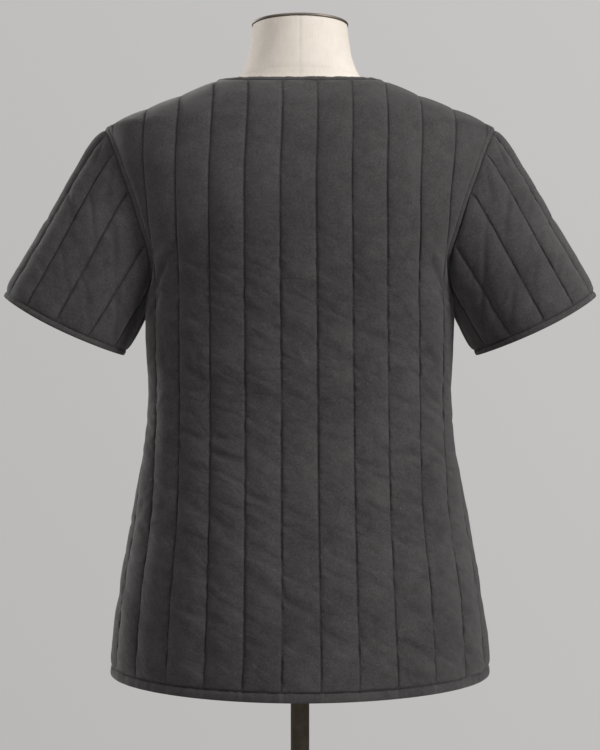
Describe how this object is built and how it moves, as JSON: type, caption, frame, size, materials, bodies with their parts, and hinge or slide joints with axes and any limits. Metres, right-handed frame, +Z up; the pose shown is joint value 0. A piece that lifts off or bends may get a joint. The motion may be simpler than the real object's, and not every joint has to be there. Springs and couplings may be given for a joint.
{
  "type": "gambeson on a dress form",
  "caption": "Short-sleeved padded gambeson with straight quilted channels and a lapped button front, worn by a limbless dress form on a round floor stand.",
  "frame": {"origin": "on the floor, under the middle of the stand's round base", "axes": "+Z up the pole, the garment's front faces -Y and its wearer's left is +X"},
  "size_m": [0.71, 0.36, 1.2797],
  "materials": {
    "quilted_cotton": "washed charcoal cotton canvas, quilted over wadding",
    "horn": "dark polished horn",
    "linen": "natural linen stretched over the form",
    "cap_steel": "brown bronzed steel",
    "stand_steel": "black bronze steel"
  },
  "bodies": {
    "root": {"back_panel": "quilted_cotton", "front_left": "quilted_cotton", "front_right": "quilted_cotton", "neck_band": "quilted_cotton", "hem_band": "quilted_cotton", "sleeve_left": "quilted_cotton", "sleeve_right": "quilted_cotton", "cuff_band_left": "quilted_cotton", "cuff_band_right": "quilted_cotton", "armhole_welt_left": "quilted_cotton", "armhole_welt_right": "quilted_cotton", "button_1": "horn", "button_2": "horn", "button_3": "horn", "button_4": "horn", "button_5": "horn", "button_6": "horn", "button_7": "horn", "dress_form": "linen", "neck_cap": "cap_steel", "pole": "stand_steel", "base_hub": "stand_steel", "base_plate": "stand_steel"}
  },
  "joints": []
}
